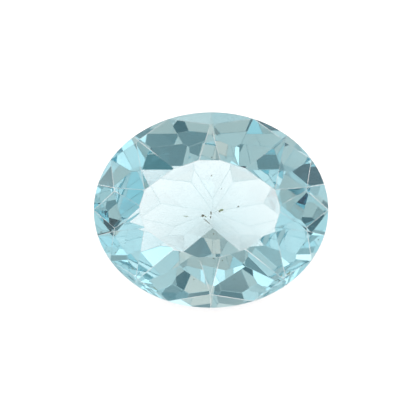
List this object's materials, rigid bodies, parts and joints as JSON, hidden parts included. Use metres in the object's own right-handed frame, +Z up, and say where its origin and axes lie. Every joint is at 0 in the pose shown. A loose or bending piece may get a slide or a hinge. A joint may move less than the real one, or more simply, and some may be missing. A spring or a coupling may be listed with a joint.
{
  "type": "cut topaz gemstone",
  "caption": "Loose oval brilliant-cut blue topaz lying on one facet of its lower half, with its table facing up and forward.",
  "frame": {"origin": "middle of the footprint, on the surface that the stone lies on", "axes": "+X along the stone's long axis, +Z up, and the table faces up and towards -Y"},
  "size_m": [0.012, 0.008, 0.0066],
  "materials": {
    "topaz": "polished flat facets, clear pale sky blue"
  },
  "bodies": {
    "root": {"stone": "topaz"}
  },
  "joints": []
}
